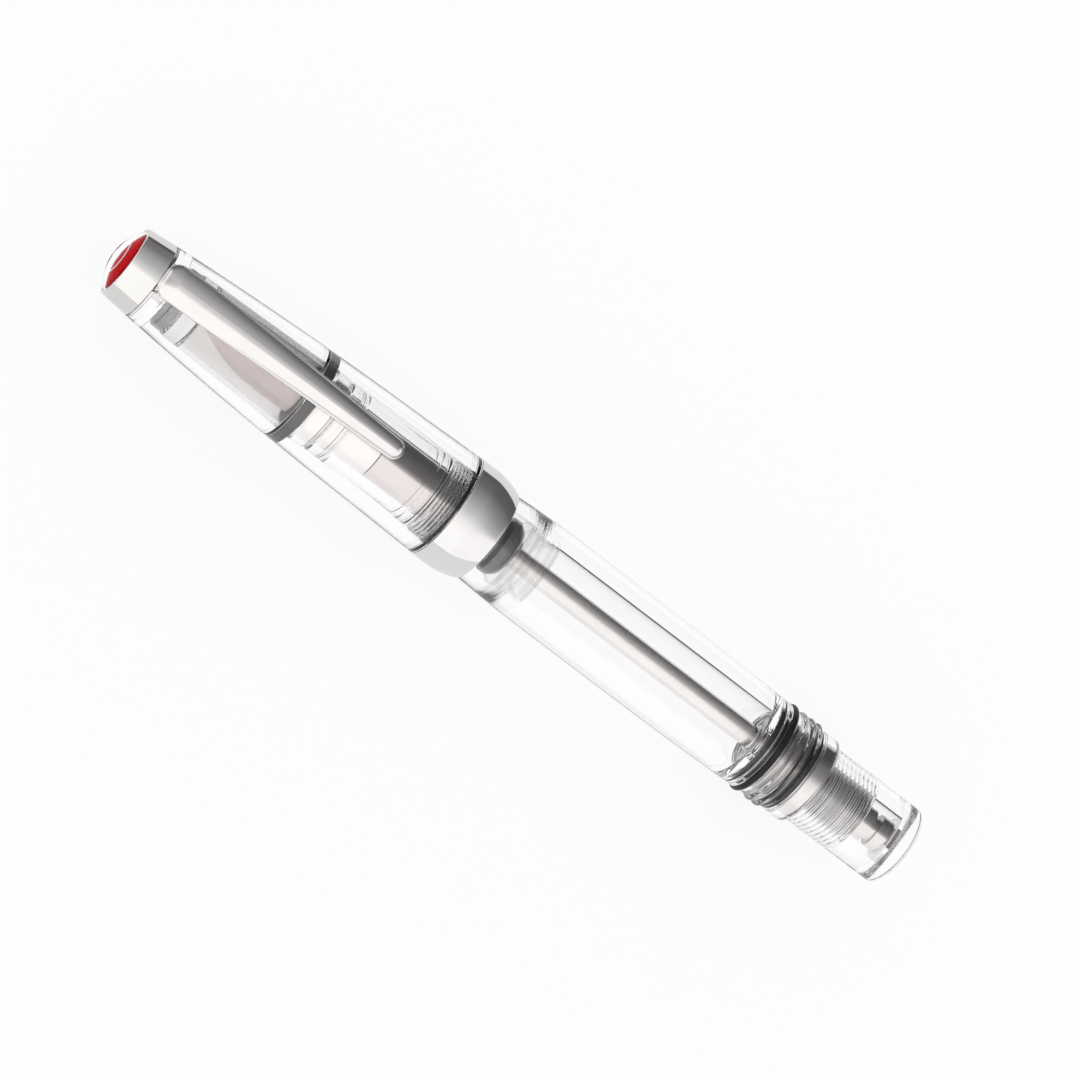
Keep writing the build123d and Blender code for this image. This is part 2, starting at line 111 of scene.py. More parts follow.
def area_sign(chain):
    """+1 when the outline runs so that its material lies on the left of its path."""
    total = sum(a[0] * b[1] - b[0] * a[1] for a, b in zip(chain, chain[1:] + chain[:1]))
    return 1 if total > 0 else -1


def find_threads(chain):
    """Rows of equal ridges in an outline: [(first index, last index, pitch, root, crest), ...]."""
    same = 1e-3  # mm

    def is_ridge(i):
        x, r = zip(*chain[i:i + RIDGE_POINTS])
        way = 1 if x[3] > x[0] else -1
        sloped = all(way * (x[k + 1] - x[k]) > 0.02 for k in range(3))
        return sloped and abs(r[0] - r[3]) < same and abs(r[1] - r[2]) < same and 0.1 < abs(r[1] - r[0]) < 1

    found, i = [], 0
    while i <= len(chain) - RIDGE_POINTS:
        j = i
        while (j <= len(chain) - RIDGE_POINTS and is_ridge(j)
               and abs(chain[j][1] - chain[i][1]) < same):
            j += RIDGE_POINTS
        if j - i < 3 * RIDGE_POINTS:
            i += 1
            continue
        pitch = abs(chain[i + RIDGE_POINTS][0] - chain[i][0])
        found.append((i, j - 1, pitch, chain[i][1], chain[i + 1][1]))
        i = j
    return found


# ---- turned rows ----------------------------------------------------------------------------
THETA = np.arange(SEGMENTS) * 2 * math.pi / SEGMENTS


def turning(before, here, after):
    """Angle by which a path turns at a point."""
    return (here - before).angle(after - here, 0.0)


def refine(points, closed):
    """Fill in the round stretches that an outline's short straight steps stand for."""
    path = [Vector(p) for p in points]
    n = len(path)

    def tangent(i):
        """Direction of the path at a point on a round stretch, or None at a corner or an end."""
        if not closed and i in (0, n - 1):
            return None
        before, here, after = path[i - 1], path[i], path[(i + 1) % n]
        if turning(before, here, after) > CORNER_ANGLE:
            return None
        back, ahead = here - before, after - here
        return (back * back.length + ahead * ahead.length).normalized()

    out = []
    for i in range(n if closed else n - 1):
        a, b = path[i], path[(i + 1) % n]
        chord = b - a
        along = chord.normalized()
        start, end = tangent(i), tangent((i + 1) % n)
        out.append(tuple(a))
        if start is None and end is None:
            continue
        start = start or (2 * end.dot(along) * along - end)
        end = end or (2 * start.dot(along) * along - start)
        steps = math.ceil(start.angle(end, 0.0) / FINE_ANGLE)
        for k in range(1, steps):
            t = k / steps
            out.append(tuple(a * (1 + 2 * t) * (1 - t) ** 2 + b * t * t * (3 - 2 * t)
                             + chord.length * (start * t * (1 - t) ** 2 - end * t * t * (1 - t))))
    if not closed:
        out.append(tuple(path[-1]))
    return out


def soften(points, closed):
    """Replace each sharp corner with a small arc."""
    most = 0.4  # share of a neighbouring side that an arc may take
    out = []
    n = len(points)
    for i, p in enumerate(points):
        if not closed and i in (0, n - 1):
            out.append(p)
            continue
        before, here, after = Vector(points[i - 1]), Vector(p), Vector(points[(i + 1) % n])
        if turning(before, here, after) < CORNER_ANGLE:
            out.append(p)
            continue
        back, ahead = before - here, after - here
        start = here + back.normalized() * min(CORNER_R, most * back.length)
        end = here + ahead.normalized() * min(CORNER_R, most * ahead.length)
        for t in (0, 0.25, 0.5, 0.75, 1):
            out.append(tuple(start * (1 - t) ** 2 + here * 2 * t * (1 - t) + end * t ** 2))
    return out


def ridge(u):
    """Height, 0 to 1, of a thread's rounded ridge at a place 0 to 1 along its pitch."""
    flank, foot = 0.3, 0.8
    ramp = np.clip(np.minimum(u / flank, (foot - u) / flank), 0, 1)
    return ramp * ramp * (3 - 2 * ramp)


def thread_rows(x0, x1, pitch, root, crest):
    """Rows (x, radii round the axis) of a right-hand helical thread that fades in and out."""
    steps = max(8, round(abs(x1 - x0) / THREAD_STEP))
    low, turns, run_in = min(x0, x1), abs(x1 - x0) / pitch, 0.35
    rows = []
    for x in np.linspace(x0, x1, steps + 1):
        along = (x - low) / pitch
        fade = np.clip(min(along, turns - along) / run_in, 0, 1)
        rows.append((x, root + (crest - root) * fade * ridge((along - THETA / (2 * math.pi)) % 1.0)))
    return rows


def plain_rows(points, closed):
    """Round rows along an outline, with its curves made fine and its corners rounded."""
    return [(x, np.full(SEGMENTS, r)) for x, r in soften(refine(points, closed), closed)]


def rows_of(node):
    """All rows of a turned node, and whether its section is a closed ring."""
    chain, closed = outline_of(node)
    if area_sign(chain) < 0:
        chain = chain[::-1]
    if closed:
        calm = min(range(len(chain)), key=lambda i: (chain[i][1], i))
        chain = chain[calm:] + chain[:calm]
    threads = find_threads(chain)
    if closed and not threads:
        return plain_rows(chain, True), True
    rows, done = [], 0
    for first, last, *thread in threads + [(len(chain) - 1, len(chain) - 1)]:
        rows += plain_rows(chain[done:first + 1], False)
        if thread:
            rows += thread_rows(chain[first][0], chain[last][0], *thread)[1:-1]
        done = last
    return rows, closed


def hexed(node, rows):
    """Make the radii of a node's hexagonal stretch follow a hexagon."""
    if node not in HEXAGONAL:
        return rows
    x0, x1, r0, r1 = HEXAGONAL[node]
    sixth = math.pi / 3
    factor = math.cos(sixth / 2) / np.cos(THETA % sixth - sixth / 2)
    return [(x, r * factor) if x0 <= x <= x1 and r0 <= r[0] <= r1 else (x, r) for x, r in rows]


def squeezed(node, rows):
    """Let the outer half of a rubber ring grow into the bore that it is squeezed in."""
    if node not in SQUEEZED:
        return rows
    radii = [r[0] for _, r in rows]
    low, high = min(radii), max(radii)
    return [(x, r + SQUEEZED[node] * (r - low) / (high - low)) for x, r in rows]


# ---- meshes ----------------------------------------------------------------------------------
def mesh_object(name, vertices, faces, crease=None):
    """A smooth-shaded object from vertices in mm. Its normals are weighted by face area, or broken
    at edges sharper than a crease angle."""
    mesh = bpy.data.meshes.new(name)
    co = np.asarray(vertices, float)
    mesh.from_pydata((co * MM).tolist(), [], [list(f) for f in faces])
    mesh.validate()
    mesh.update()
    mesh.shade_smooth()
    if crease:
        mesh.set_sharp_from_angle(angle=crease)
    else:
        weigh_normals(mesh)
    piece = bpy.data.objects.new(name, mesh)
    bpy.context.scene.collection.objects.link(piece)
    return piece


def weigh_normals(mesh):
    """Vertex normals weighted by the area of the faces, so that flats stay flat beside fine edges."""
    total = np.zeros((len(mesh.vertices), 3))
    for poly in mesh.polygons:
        total[list(poly.vertices)] += np.array(poly.normal) * poly.area
    length = np.linalg.norm(total, axis=1, keepdims=True)
    length[length == 0] = 1
    mesh.normals_split_custom_set_from_vertices((total / length).tolist())


def turned(node, material):
    """Turn a CAD node again, finely, with rounded edges and helical threads, in its place."""
    rows, closed = rows_of(node)
    rows = squeezed(node, hexed(node, rows))
    vertices, faces, bases = [], [], []
    for x, r in rows:
        bases.append(len(vertices))
        if r[0] < ON_AXIS:
            vertices.append((x, 0, 0))
        else:
            vertices += [(x, ri * c, ri * s) for ri, c, s in zip(r, np.cos(THETA), np.sin(THETA))]
    pairs = list(zip(range(len(rows)), range(1, len(rows))))
    if closed:
        pairs.append((len(rows) - 1, 0))
    for i, j in pairs:
        a, b = bases[i], bases[j]
        one, other = rows[i][1][0] < ON_AXIS, rows[j][1][0] < ON_AXIS
        for k in range(SEGMENTS):
            n = (k + 1) % SEGMENTS
            if one and other:
                break
            if one:
                faces.append((a, b + k, b + n))
            elif other:
                faces.append((a + k, b, a + n))
            else:
                faces.append((a + k, b + k, b + n, a + n))
    piece = mesh_object(node + "_turned", vertices, faces)
    return fit(piece, node, material)


def box_mesh(low, high):
    """Vertices and faces of a box between two corners."""
    vertices = [(x, y, z) for x in (low[0], high[0]) for y in (low[1], high[1]) for z in (low[2], high[2])]
    return vertices, [(0, 1, 3, 2), (4, 6, 7, 5), (0, 4, 5, 1), (2, 3, 7, 6), (0, 2, 6, 4), (1, 5, 7, 3)]


def cut_away(piece, low, high):
    """Cut a box-shaped notch, in mm, out of a piece."""
    cutter = mesh_object("cutter", *box_mesh(low, high))
    notch = piece.modifiers.new("notch", "BOOLEAN")
    notch.object, notch.operation, notch.solver = cutter, "DIFFERENCE", "EXACT"
    evaluated = piece.evaluated_get(bpy.context.evaluated_depsgraph_get())
    mesh = bpy.data.meshes.new_from_object(evaluated)
    mesh.name = piece.name
    piece.modifiers.clear()
    piece.data = mesh
    bpy.data.objects.remove(cutter)
    mesh.shade_smooth()
    weigh_normals(mesh)


def fit(piece, node, material):
    """Give a piece its material and its place on a body, and let it stand for its CAD node."""
    piece.data.materials.clear()
    piece.data.materials.append(material)
    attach(piece, BODY_OF[node])
    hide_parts(node)
    return piece


def finish_stretch(piece, material, x0, x1, r0, r1):
    """Give the faces of a turned piece between two stations and two radii, in mm, another finish."""
    piece.data.materials.append(material)
    for poly in piece.data.polygons:
        x, y, z = (c / MM for c in poly.center)
        if x0 < x < x1 and r0 < math.hypot(y, z) < r1:
            poly.material_index = len(piece.data.materials) - 1


BODY_OF = {node: body for body, nodes in frame["record"]["behaviour"]["bodies"].items() for node in nodes}


# ---- materials --------------------------------------------------------------------------------
class Wiring:
    """A node tree in the making, with short names for the nodes that are used most."""

    def __init__(self, tree):
        self.nodes, self.links = tree.nodes, tree.links

    def node(self, kind, inputs=None, **settings):
        """Add a node. Each input is a value, or the socket that it is linked from."""
        made = self.nodes.new(kind)
        for key, value in settings.items():
            setattr(made, key, value)
        for key, value in (inputs or {}).items():
            if isinstance(value, bpy.types.NodeSocket):
                self.links.new(value, made.inputs[key])
            else:
                made.inputs[key].default_value = value
        return made

    def math(self, operation, a, b=0.0):
        return self.node("ShaderNodeMath", {0: a, 1: b}, operation=operation).outputs["Value"]

    def scaled(self, color, factor):
        made = self.node("ShaderNodeVectorMath", {0: color, "Scale": factor}, operation="SCALE")
        return made.outputs["Vector"]

    def part(self, vector, axis):
        return self.node("ShaderNodeSeparateXYZ", {"Vector": vector}).outputs[axis]

    def span(self, value, low, high, start=0.3, end=0.7):
        """Map a value from start..end onto low..high. The usual start and end suit noise."""
        return self.node("ShaderNodeMapRange", {"Value": value, "From Min": start, "From Max": end,
                                                "To Min": low, "To Max": high}).outputs["Result"]

    def between(self, share, a, b):
        """Mix two values."""
        return self.node("ShaderNodeMix", {0: share, 2: a, 3: b}).outputs[0]

    def blend(self, share, a, b):
        """Mix two colours, each a socket or three numbers."""
        a, b = (c if isinstance(c, bpy.types.NodeSocket) else (*c, 1) for c in (a, b))
        return self.node("ShaderNodeMix", {0: share, 6: a, 7: b}, data_type="RGBA").outputs[2]


class Recipe(Wiring):
    """A node material in the making."""

    def __init__(self, name):
        self.material = bpy.data.materials.new(name)
        self.material.use_nodes = True
        super().__init__(self.material.node_tree)
        self.surface = self.nodes["Principled BSDF"]
        self.output = self.nodes["Material Output"]
        coordinates = self.nodes.new("ShaderNodeTexCoord").outputs
        self.place, self.mirror = coordinates["Object"], coordinates["Reflection"]

    def set(self, **values):
        """Set inputs of the surface, such as base_color for Base Color."""
        for key, value in values.items():
            socket = self.surface.inputs[key.replace("_", " ").title().replace("Ior", "IOR")]
            socket.default_value = value

    def noise(self, scale, detail=3.0, stretch=(1, 1, 1)):
        """Noise with its scale in features per metre, stretched along the axes."""
        mapped = self.node("ShaderNodeMapping", {"Vector": self.place, "Scale": stretch})
        return self.node("ShaderNodeTexNoise", {"Vector": mapped.outputs["Vector"], "Scale": scale,
                                                "Detail": detail}).outputs["Fac"]

    def bump(self, height, depth_mm):
        made = self.node("ShaderNodeBump", {"Height": height, "Distance": depth_mm * MM, "Strength": 1.0})
        self.wire(made.outputs["Normal"], "Normal")

    def wire(self, output, key):
        self.links.new(output, self.surface.inputs[key])


# How noise is stretched, so that its features run along the pen or round it.
ALONG, ROUND, HAIRLINE_ROUND = (0.04, 1, 1), (1, 0.05, 0.05), (1, 0.03, 0.03)


def clear_plastic(name, tint, haze=0.008, ripple=0.0004, grooves=0.0, ior=1.49, shade_streaks=0.0, painted_side_shade=0.0):
    """Clear plastic: light passes to what lies inside, with faint moulding ripples and a fine haze.
    A machined face also has fine grooves round the pen, and darker bands of painted shade round it.
    Painted shade also darkens the side that faces the dark card."""
    r = Recipe(name)
    r.set(base_color=(*tint, 1), transmission_weight=1.0, ior=ior, roughness=0.0)
    tone = tint
    # Painted shade: darker hairline bands round the pen, from noise.
    if shade_streaks:
        lines = r.noise(1300, 3, HAIRLINE_ROUND)
        tone = r.blend(r.span(lines, 0, 1, 0.38, 0.6), [c * (1 - shade_streaks) for c in tint], tint)
    # Painted shade: darker colour on the side of the piece that faces +Y, towards the dark card.
    if painted_side_shade:
        spot = r.node("ShaderNodeNewGeometry").outputs["Position"]
        across = r.node("ShaderNodeVectorMath", {0: spot, 1: (0, 1, 1)}, operation="MULTIPLY")
        facing = r.node("ShaderNodeVectorMath", {0: across.outputs["Vector"]}, operation="NORMALIZE")
        shade = r.span(r.part(facing.outputs["Vector"], "Y"), 0, 1, 0.72, 0.82)
        tone = r.blend(shade, tone, [c * (1 - painted_side_shade) for c in tint])
    if tone is not tint:
        r.wire(tone, "Base Color")
    cloud = r.noise(900, 4, (1, 2.5, 2.5))
    r.wire(r.span(cloud, haze * 0.2, haze, 0.35, 0.75), "Roughness")
    if grooves:
        r.bump(r.noise(3000, 3, (1, 0.04, 0.04)), grooves)
    else:
        r.bump(r.noise(160, 2, (0.35, 1, 1)), ripple)
    path = r.node("ShaderNodeLightPath").outputs
    let_through = r.node("ShaderNodeBsdfTransparent", {"Color": (0.97, 0.975, 0.975, 1)})
    mix = r.node("ShaderNodeMixShader", {0: r.math("MAXIMUM", path["Is Shadow Ray"], path["Is Diffuse Ray"]),
                                         1: r.surface.outputs["BSDF"], 2: let_through.outputs["BSDF"]})
    r.links.new(mix.outputs["Shader"], r.output.inputs["Surface"])
    return r.material


def metal(name, color, rough, depth_mm, stretch, grain=2600, painted_mirror_shade=1.0, bloom=0.0, shade_streaks=0.0):
    """Metal whose grain lies along or round the pen, with slight variation in its polish. A satin
    metal can have painted shade where it mirrors the dark side of the studio, and its polish can
    bloom where it mirrors what is overhead. Painted shade can also darken bands round the pen, as between
    threads."""
    r = Recipe(name)
    r.set(metallic=1.0, roughness=rough[0])
    tone = r.blend(r.span(r.noise(220), 0, 1), [c * 0.95 for c in color], color)
    # Painted shade: darker bands round the pen, from noise, as between thread ridges.
    if shade_streaks:
        bands = r.noise(1100, 2, HAIRLINE_ROUND)
        tone = r.scaled(tone, r.span(bands, 1 - shade_streaks, 1, 0.4, 0.58))
    # Painted shade: darker colour where the surface mirrors the +Y side, where the dark card stands.
    if painted_mirror_shade < 1:
        tone = r.scaled(tone, r.span(r.part(r.mirror, "Y"), 1, painted_mirror_shade, -0.2, 0.15))
    r.wire(tone, "Base Color")
    lines = r.noise(grain, 4, stretch)
    polish = r.span(lines, rough[0], rough[1])
    if bloom:
        polish = r.math("ADD", polish, r.span(r.part(r.mirror, "Z"), 0, bloom, 0.45, 0.9))
    r.wire(polish, "Roughness")
    r.bump(lines, depth_mm)
    return r.material


def rubber(name, sheen, grain_mm):
    """Black rubber with a fine moulded grain and a sheen that depends on how it is polished."""
    r = Recipe(name)
    r.set(ior=1.5, specular_ior_level=sheen, coat_weight=sheen, coat_roughness=0.2, coat_ior=1.8)
    r.wire(r.blend(r.span(r.noise(500), 0, 1), (0.005, 0.005, 0.005), (0.012, 0.010, 0.010)), "Base Color")
    r.wire(r.span(r.noise(2500), 0.3, 0.5), "Roughness")
    r.bump(r.noise(4000), grain_mm)
    return r.material


def solid_plastic(name, color, rough, grain_mm):
    """Opaque moulded plastic."""
    r = Recipe(name)
    r.set(roughness=rough, ior=1.49, subsurface_weight=0.05)
    r.wire(r.blend(r.span(r.noise(300), 0, 1), [c * 0.94 for c in color], color), "Base Color")
    r.wire(r.span(r.noise(1800), rough * 0.8, rough * 1.25), "Roughness")
    r.bump(r.noise(2500), grain_mm)
    return r.material


def fill_ramp(ramp, stops):
    """Give a colour ramp its stops, [(position, (r, g, b)), ...]."""
    first, last = ramp.elements
    first.position, first.color = stops[0][0], (*stops[0][1], 1)
    last.position, last.color = stops[-1][0], (*stops[-1][1], 1)
    for position, color in stops[1:-1]:
        ramp.elements.new(position).color = (*color, 1)


def enamel(name, disc_r):
    """Red enamel with a thin silver ring and a silver centre, round the pen's axis."""
    r = Recipe(name)
    r.set(specular_ior_level=0.0)
    flat = r.node("ShaderNodeCombineXYZ", {"Y": r.part(r.place, "Y"), "Z": r.part(r.place, "Z")})
    radius = r.node("ShaderNodeVectorMath", {0: flat.outputs["Vector"]}, operation="LENGTH")
    share = r.math("DIVIDE", radius.outputs["Value"], disc_r * MM)
    rings = r.node("ShaderNodeValToRGB", {"Fac": share})
    silver, red, deep = (0.60, 0.59, 0.58), (0.46, 0.006, 0.010), (0.20, 0.003, 0.006)
    fill_ramp(rings.color_ramp, [(0.0, silver), (0.13, silver), (0.15, red), (0.44, red), (0.46, silver),
                                 (0.50, silver), (0.52, red), (0.80, red), (0.94, deep)])
    r.wire(rings.outputs["Color"], "Base Color")
    silvery = r.node("ShaderNodeSeparateColor", {"Color": rings.outputs["Color"]}).outputs["Green"]
    r.wire(r.span(silvery, 0, 0.9, 0.05, 0.5), "Metallic")
    r.wire(r.span(r.noise(1500), 0.2, 0.35), "Roughness")
    r.bump(r.noise(1200, 2), 0.0004)
    return r.material


# The inner cap has painted shade on its +Y side. The machined and threaded plastics and the threaded steel
# have painted shade in bands round the pen. The satin metals other than the clip's have painted shade where
# they mirror the +Y side.
CLEAR = clear_plastic("clear_plastic", (0.995, 0.995, 0.995))
CLEAR_INNER = clear_plastic("clear_plastic_inner", (0.86, 0.845, 0.84), haze=0.1, painted_side_shade=0.6)
MACHINED = clear_plastic("clear_plastic_machined", (0.88, 0.87, 0.87), haze=0.3, grooves=0.03, shade_streaks=0.35)
THREADED = clear_plastic("clear_plastic_threaded", (0.97, 0.96, 0.96), haze=0.03, grooves=0.008, shade_streaks=0.5)
LENS_CLEAR = clear_plastic("clear_lens", (1.0, 1.0, 1.0), haze=0.0, ripple=0.00005, ior=1.06)
SMOKED = clear_plastic("clear_plastic_end", (0.56, 0.55, 0.545), haze=0.1, ripple=0.02)
POLISHED = metal("polished_steel", (0.86, 0.85, 0.84), (0.05, 0.09), 0.0004, (0.2, 1, 1), grain=1400)
BAND_METAL = metal("polished_steel_band", (0.88, 0.87, 0.865), (0.05, 0.09), 0.0004, (0.2, 1, 1),
                   grain=1400, bloom=0.3)
SATIN_CLIP = metal("satin_steel_clip", (0.86, 0.845, 0.84), (0.09, 0.15), 0.0008, ALONG)
SATIN_LONG = metal("satin_steel_long", (0.84, 0.815, 0.805), (0.10, 0.16), 0.0008, ALONG,
                   painted_mirror_shade=0.8, bloom=0.25)
SATIN_ROUND = metal("satin_steel_round", (0.82, 0.79, 0.785), (0.10, 0.16), 0.0012, ROUND, painted_mirror_shade=0.5)
GLAND_METAL = metal("satin_steel_gland", (0.84, 0.81, 0.805), (0.10, 0.16), 0.0008, ROUND,
                    painted_mirror_shade=0.5, bloom=0.3)
TAIL_METAL = metal("satin_steel_threaded", (0.82, 0.79, 0.785), (0.2, 0.3), 0.004, ROUND,
                   painted_mirror_shade=0.5, shade_streaks=0.8)
BRIGHT_ROUND = metal("satin_aluminium_bright", (0.95, 0.91, 0.905), (0.2, 0.26), 0.0008, ROUND, painted_mirror_shade=0.6)
WARM_ROUND = metal("satin_aluminium_warm", (0.78, 0.725, 0.72), (0.12, 0.16), 0.0002, ROUND, painted_mirror_shade=0.3)
DARK_ROUND = metal("satin_aluminium_dark", (0.32, 0.31, 0.31), (0.2, 0.26), 0.0012, ROUND, painted_mirror_shade=0.6)
NIB_METAL = metal("nib_steel", (0.66, 0.585, 0.585), (0.12, 0.2), 0.0012, (0.06, 1, 1),
                  grain=2400, painted_mirror_shade=0.5)
RUBBER = rubber("black_rubber", 0.15, 0.004)
SEAL_RUBBER = rubber("black_rubber_polished", 0.8, 0.001)
BLACK = solid_plastic("black_plastic", (0.022, 0.022, 0.024), 0.38, 0.003)
ENAMEL = enamel("red_enamel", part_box("finial_disc")[1].y / MM)

TURNED = {
    CLEAR: ["cap_body", "section", "barrel", "knob"],
    LENS_CLEAR: ["finial_dome"],
    CLEAR_INNER: ["inner_cap"],
    POLISHED: ["cap_top_ring", "seal_retainer"],
    BAND_METAL: ["cap_band"],
    SATIN_LONG: ["plunger_rod"],
    SATIN_ROUND: ["finial_screw", "clip_ring", "knob_core"],
    GLAND_METAL: ["gland_housing"],
    BRIGHT_ROUND: ["nib_collar"],
    WARM_ROUND: ["section_sleeve"],
    DARK_ROUND: ["finial_nut"],
    ENAMEL: ["finial_disc"],
    SEAL_RUBBER: ["plunger_seal", "inner_cap_seal"],
    RUBBER: ["gland_seal", "gland_o_ring", "gland_gasket", "posting_o_ring", "section_o_ring"],
}


# Stretches of turned nodes with another finish: the finish, then lowest x, highest x, lowest r and
# highest r, in mm.
STRETCHES = {
    "barrel": [(MACHINED, -16.7, -11.7, 4.0, 5.0),         # taper of the release chamber
               (THREADED, 27.4, 31.2, 6.1, 6.8)],          # posting threads
    "knob": [(SMOKED, 47.05, 49.0, 0.0, 5.5),              # closed end
             (THREADED, 34.3, 41.4, 3.2, 3.9)],            # bore over the gland's tail
    "gland_housing": [(TAIL_METAL, 34.1, 41.5, 2.8, 3.4),  # threaded tail
                      (TAIL_METAL, 26.5, 31.3, 2.8, 6.0)],  # front, inside the barrel
}


# ---- clip --------------------------------------------------------------------------------------
def parabola(points, x):
    """Value at x of the parabola through three (x, z) points."""
    total = 0.0
    for i, (xi, zi) in enumerate(points):
        term = zi
        for j, (xj, _) in enumerate(points):
            if i != j:
                term *= (x - xj) / (xi - xj)
        total += term
    return total


def clip_plan(head, tip, head_w, tip_w, corner, count=48):
    """Half outline of the clip seen from above, from the middle of the head to the tip."""
    points = [(head, y) for y in np.linspace(0, head_w / 2 - corner, 4)]
    centre = (head + corner, head_w / 2 - corner)
    points += [(centre[0] - corner * math.cos(a), centre[1] + corner * math.sin(a))
               for a in np.linspace(0, math.pi / 2, 12)[1:]]
    shoulder, tip_r = head + 6.0, tip_w / 2
    points += [(x, head_w / 2) for x in np.linspace(centre[0], shoulder, 8)[1:]]
    for t in np.linspace(0, 1, count)[1:]:
        points.append((shoulder + (tip - tip_r - shoulder) * t, head_w / 2 + (tip_w - head_w) / 2 * t))
    points += [(tip - tip_r + tip_r * math.sin(a), tip_r * math.cos(a))
               for a in np.linspace(0, math.pi / 2, 12)[1:]]
    return points


# Lowest and highest corner of the neck that runs down from the clip's head, in mm.
CLIP_NECK = ((-73.4, -2.0, 4.8), (-73.0, 2.0, 6.2))


def cut_clip_slot(cap):
    """Cut the slot for the clip's neck, which is open towards the finial and at the top."""
    (x0, y0, z0), (x1, y1, z1) = CLIP_NECK
    beside, before, below = 0.15, 0.1, 0.6
    cut_away(cap, (x0 - 1, y0 - beside, z0 - below), (x1 + before, y1 + beside, z1 + 1))


def make_clip():
    """Arched, crowned clip with a bright bevel round its edge, and its neck."""
    low, high = (Vector(c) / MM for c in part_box("clip"))
    head, tip, head_w, tip_w = low.x, high.x, high.y - low.y, 2.95
    flat_from = tip - 2.4
    top = [(head, high.z - 1.25), ((head + tip) / 2, high.z - 0.05), (tip, high.z - 0.32)]
    under = [(head, 5.75), (-54.0, 7.35), (flat_from, 7.25)]
    crown, bevel, edge_t, under_bevel = 0.85, 0.2, 0.2, 0.12
    near_spine = 0.999  # share of the way in; a row at 1 would have no width
    half = clip_plan(head, tip, head_w, tip_w, 1.7)
    loop = half + [(x, -y) for x, y in half[-2:0:-1]]
    n = len(loop)
    spine = [min(max(x, head + head_w / 2), tip - tip_w / 2) for x, _ in loop]

    def ring(inset, share, height):
        """Loop moved inwards by an inset, then towards the spine by a share, at a height."""
        out = []
        for (x, y), sx in zip(loop, spine):
            reach = math.hypot(x - sx, y)
            keep = max(0.0, 1 - inset / reach) * (1 - share)
            px, py = sx + (x - sx) * keep, y * keep
            out.append((px, py, height(px, keep)))
        return out

    def underside(x, _):
        return parabola(under, x) if x < flat_from else under[-1][1]

    def crowned(x, keep):
        return parabola(top, x) - crown * keep ** 2

    rims = [ring(0.0, s, underside) for s in (near_spine, 0.66, 0.33)] + [ring(under_bevel, 0, underside)]
    rims.append(ring(0.0, 0, lambda x, k: underside(x, k) + under_bevel))
    rims.append(ring(0.0, 0, lambda x, k: crowned(x, 1.0) - edge_t))
    rims.append(ring(bevel * 0.5, 0, lambda x, k: crowned(x, 1.0) - edge_t * 0.38))
    rims.append(ring(bevel, 0, lambda x, k: crowned(x, 1.0) - 0.05))
    rims += [ring(bevel, s, crowned) for s in (0.06, 0.2, 0.36, 0.52, 0.68, 0.84, near_spine)]
    vertices = [p for rim in rims for p in rim]
    faces = [(a * n + i, a * n + (i + 1) % n, (a + 1) * n + (i + 1) % n, (a + 1) * n + i)
             for a in range(len(rims) - 1) for i in range(n)]
    for rim_i, flip in ((0, False), (len(rims) - 1, True)):
        base = rim_i * n
        for i in range(1, len(half) - 1):
            quad = (base + i, base + (n - i) % n, base + (n - i - 1) % n, base + i + 1)
            face = tuple(dict.fromkeys(quad))
            faces.append(face if flip else face[::-1])
        face = (base, base + n - 1, base + 1)
        faces.append(face if flip else face[::-1])
    base = len(vertices)
    neck, sides = box_mesh(*CLIP_NECK)
    vertices += neck
    faces += [tuple(base + i for i in side) for side in sides]
    piece = mesh_object("clip_formed", vertices, faces)
    return fit(piece, "clip", SATIN_CLIP)


# ---- nib -----------------------------------------------------------------------------------------
def make_nib():
    """Nib: a tapered, curved sheet with shoulders, a breather hole, and a slit from the hole to
    the tip, which ends in two halves of a small ball."""
    low, high = (Vector(c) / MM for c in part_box("nib"))
    tip, rear, body_r, thick = low.x + 0.3, high.x, high.z, 0.3
    hole_x, hole_r, slit = -56.0, 0.55, 0.03
    taper = [(-55.0, body_r), (-61.0, 2.6), (tip, 1.45)]
    tines = [(-57.5, 3.0), (-62.0, 2.1), (tip, 0.6)]

    def curve_r(x):
        return body_r if x > taper[0][0] else parabola(taper, x)

    def half_width(x):
        if x > tines[0][0]:
            return float(np.interp(x, (tines[0][0], -54.5, rear), (3.0, body_r, 2.9)))
        return parabola(tines, x)

    def gap(x):
        if x >= hole_x + hole_r:
            return 0.0
        return max(slit, math.sqrt(max(0.0, hole_r ** 2 - (x - hole_x) ** 2)))

    around = hole_x + hole_r * np.cos(np.linspace(0, math.pi, 17))
    stations = np.concatenate([np.linspace(rear, around[0], 24)[:-1], around,
                               np.linspace(around[-1], tip, 40)[1:]])
    across, ball_r = 14, 0.45
    vertices, faces = [], []
    for side in (1, -1):
        base = len(vertices)
        for x in stations:
            r = curve_r(x)
            start, end = math.asin(gap(x) / r), math.asin(min(half_width(x) / r, 1.0))
            angles = [start + (end - start) * k / (across - 1) for k in range(across)]
            for radius, order in ((r, angles), (r - thick, angles[::-1])):
                vertices += [(x, side * radius * math.sin(a), radius * math.cos(a)) for a in order]
        loop = 2 * across
        for i, x in enumerate(stations[:-1]):
            joined = stations[i + 1] >= around[0] - 1e-9
            for k in range(loop - 1 if joined else loop):
                quad = [base + i * loop + k, base + i * loop + (k + 1) % loop,
                        base + (i + 1) * loop + (k + 1) % loop, base + (i + 1) * loop + k]
                faces.append(quad if side > 0 else quad[::-1])
        for i, flip in ((0, side < 0), (len(stations) - 1, side > 0)):
            for k in range(across - 1):
                quad = [base + i * loop + k, base + (i + 1) * loop - 1 - k,
                        base + (i + 1) * loop - 2 - k, base + i * loop + k + 1]
                faces.append(quad[::-1] if flip else quad)
        faces += half_ball(vertices, (low.x + ball_r, 0, 1.25), ball_r, slit, side)
    piece = mesh_object("nib_formed", vertices, faces, crease=math.radians(35))
    weld(piece.data)
    return fit(piece, "nib", NIB_METAL)


